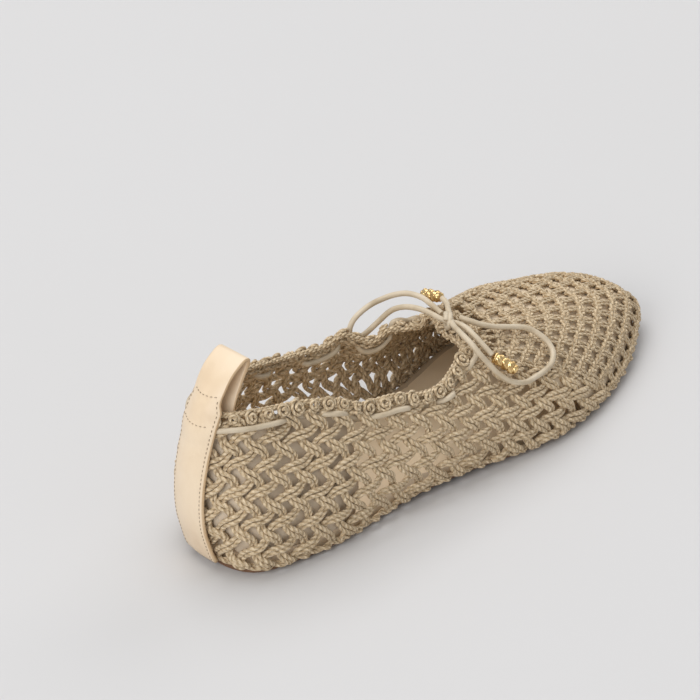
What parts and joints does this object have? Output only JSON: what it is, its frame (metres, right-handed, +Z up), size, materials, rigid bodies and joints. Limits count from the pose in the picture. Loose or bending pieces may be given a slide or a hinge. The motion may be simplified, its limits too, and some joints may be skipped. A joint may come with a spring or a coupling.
{
  "type": "crochet flat",
  "caption": "Soft slip-on flat shoe with an open crochet net upper, a thin leather sole, a leather heel tab with pull loop, and a drawstring collar tied in a bow with metal cord ends.",
  "frame": {"origin": "middle of the shoe's box in plan, on the floor under the sole", "axes": "+X to the toe, +Y to the medial side of this right shoe, +Z up"},
  "size_m": [0.2443, 0.0786, 0.0834],
  "materials": {
    "linen_yarn": "matt twisted linen and cotton yarn, oatmeal beige",
    "natural_leather": "smooth natural leather with a soft sheen",
    "cream_cord": "smooth round leather cord, cream",
    "insole_leather": "smooth lining leather, beige tan",
    "sole_leather": "brown sole leather with a plain edge",
    "gold": "polished gold tone"
  },
  "bodies": {
    "root": {"outsole": "sole_leather", "insole": "insole_leather", "upper": "linen_yarn", "heel_tab": "natural_leather", "drawstring": "cream_cord", "bow_knot": "cream_cord", "bow_loop_lateral": "cream_cord", "bow_loop_medial": "cream_cord", "cord_end_lateral": "cream_cord", "cord_end_medial": "cream_cord", "end_cap_lateral": "gold", "end_cap_medial": "gold"}
  },
  "joints": []
}
